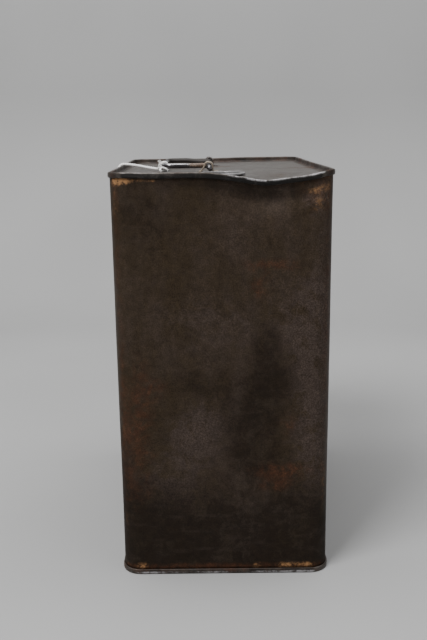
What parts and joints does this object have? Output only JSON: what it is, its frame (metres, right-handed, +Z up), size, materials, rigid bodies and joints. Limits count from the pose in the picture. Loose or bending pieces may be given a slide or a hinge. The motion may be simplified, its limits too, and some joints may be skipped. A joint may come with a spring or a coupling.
{
  "type": "oil can",
  "caption": "Upright rectangular gallon tin with double-seamed ends, a push-in filler plug, and a folding wire bail with a tied string.",
  "frame": {"origin": "middle of the footprint, on the surface that the tin stands on", "axes": "+Z up, X across the narrow side, Y along the deep side with the filler end at -Y"},
  "size_m": [0.1265, 0.185, 0.2341],
  "materials": {
    "body_tin": "aged dark patina, satin, rust spots",
    "end_tin": "tarnished tinplate",
    "closure_tin": "tarnished tinplate",
    "solder": "dull solder",
    "compound": "matte",
    "card": "oil-stained card",
    "bail_steel": "worn wire",
    "string": "twisted cotton"
  },
  "bodies": {
    "tin": {"body_sheet": "body_tin", "side_seam_solder": "solder", "top_plate": "end_tin", "bottom_plate": "end_tin", "top_seam_compound": "compound", "bottom_seam_compound": "compound", "filler_neck": "end_tin", "neck_solder": "solder", "front_lug": "end_tin", "front_lug_solder": "solder", "rear_lug": "end_tin", "rear_lug_solder": "solder", "hanging_string": "string", "string_end_knot": "string"},
    "bail": {"bail_wire": "bail_steel", "bail_knot": "string"},
    "plug": {"filler_plug": "closure_tin", "plug_liner": "card"}
  },
  "joints": [
    {"name": "bail_hinge", "type": "hinge", "parent": "tin", "child": "bail", "pos_m": [-0.007, 0.0055, 0.2274], "axis": [0, 1, 0], "range_deg": [0, 176]},
    {"name": "plug_lift", "type": "slide", "parent": "tin", "child": "plug", "axis": [0, 0, 1], "range_m": [0, 0.03]}
  ]
}
